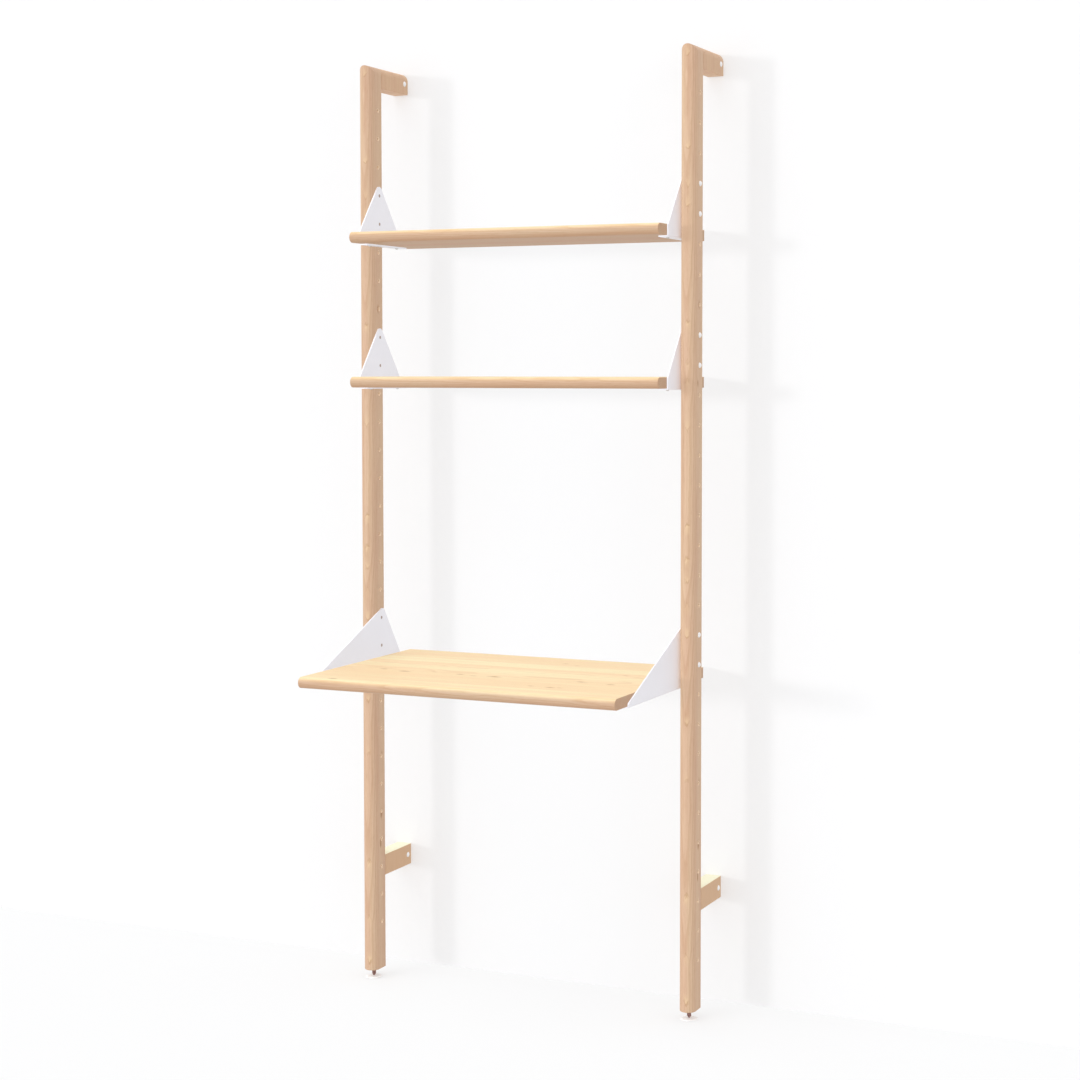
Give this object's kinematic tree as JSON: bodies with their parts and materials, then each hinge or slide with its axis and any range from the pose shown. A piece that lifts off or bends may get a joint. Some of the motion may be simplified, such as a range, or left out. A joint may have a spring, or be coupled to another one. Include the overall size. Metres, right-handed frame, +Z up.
{
  "type": "wall-fixed desk with shelves",
  "caption": "Wall-fixed desk unit: round-fronted wooden uprights with rows of holes, wall arms and levelling feet carry a desk top and shelves on folded white metal brackets.",
  "frame": {"origin": "on the floor, in the middle of the overall width and depth", "axes": "+X to the right as seen from the front, +Y back towards the wall, +Z up"},
  "size_m": [0.824, 0.5024, 2.085],
  "materials": {
    "frame_wood": "satin",
    "board_wood": "satin",
    "bracket_white": "satin",
    "bolt_white": "satin",
    "pad_white": "matte",
    "dark_steel": "satin",
    "plated_steel": "satin"
  },
  "bodies": {
    "frame": {"left_upright": "frame_wood", "right_upright": "frame_wood", "left_lower_arm": "frame_wood", "right_lower_arm": "frame_wood", "left_upper_arm": "frame_wood", "right_upper_arm": "frame_wood", "arm_dowels": "frame_wood", "desk_top": "board_wood", "middle_shelf": "board_wood", "top_shelf": "board_wood", "desk_left_bracket": "bracket_white", "desk_right_bracket": "bracket_white", "middle_shelf_left_bracket": "bracket_white", "middle_shelf_right_bracket": "bracket_white", "top_shelf_left_bracket": "bracket_white", "top_shelf_right_bracket": "bracket_white", "bracket_bolts": "bolt_white", "arm_lock_bolts": "bolt_white", "arm_lock_nuts": "bolt_white", "left_lower_wall_bracket": "plated_steel", "right_lower_wall_bracket": "plated_steel", "left_upper_wall_bracket": "plated_steel", "right_upper_wall_bracket": "plated_steel", "left_foot_insert": "plated_steel", "right_foot_insert": "plated_steel", "board_screws": "plated_steel"},
    "left_foot_pad": {"left_foot_pad": "pad_white"},
    "left_foot_stud": {"left_foot_stud": "dark_steel"},
    "right_foot_pad": {"right_foot_pad": "pad_white"},
    "right_foot_stud": {"right_foot_stud": "dark_steel"}
  },
  "joints": [
    {"name": "left_foot_lift", "type": "slide", "parent": "frame", "child": "left_foot_pad", "axis": [0, 0, 1], "range_m": [-0.015, 0.009]},
    {"name": "left_stud_turn", "type": "hinge", "parent": "left_foot_pad", "child": "left_foot_stud", "pos_m": [-0.39, 0.10525, 0.02], "axis": [0, 0, 1], "range_deg": [-3600, 2160]},
    {"name": "right_foot_lift", "type": "slide", "parent": "frame", "child": "right_foot_pad", "axis": [0, 0, 1], "range_m": [-0.015, 0.009]},
    {"name": "right_stud_turn", "type": "hinge", "parent": "right_foot_pad", "child": "right_foot_stud", "pos_m": [0.39, 0.10525, 0.02], "axis": [0, 0, 1], "range_deg": [-3600, 2160]}
  ],
  "couplings": [
    {"joint": "left_foot_lift", "follows": "left_stud_turn", "m_per_rad": 0.0002387},
    {"joint": "right_foot_lift", "follows": "right_stud_turn", "m_per_rad": 0.0002387}
  ]
}
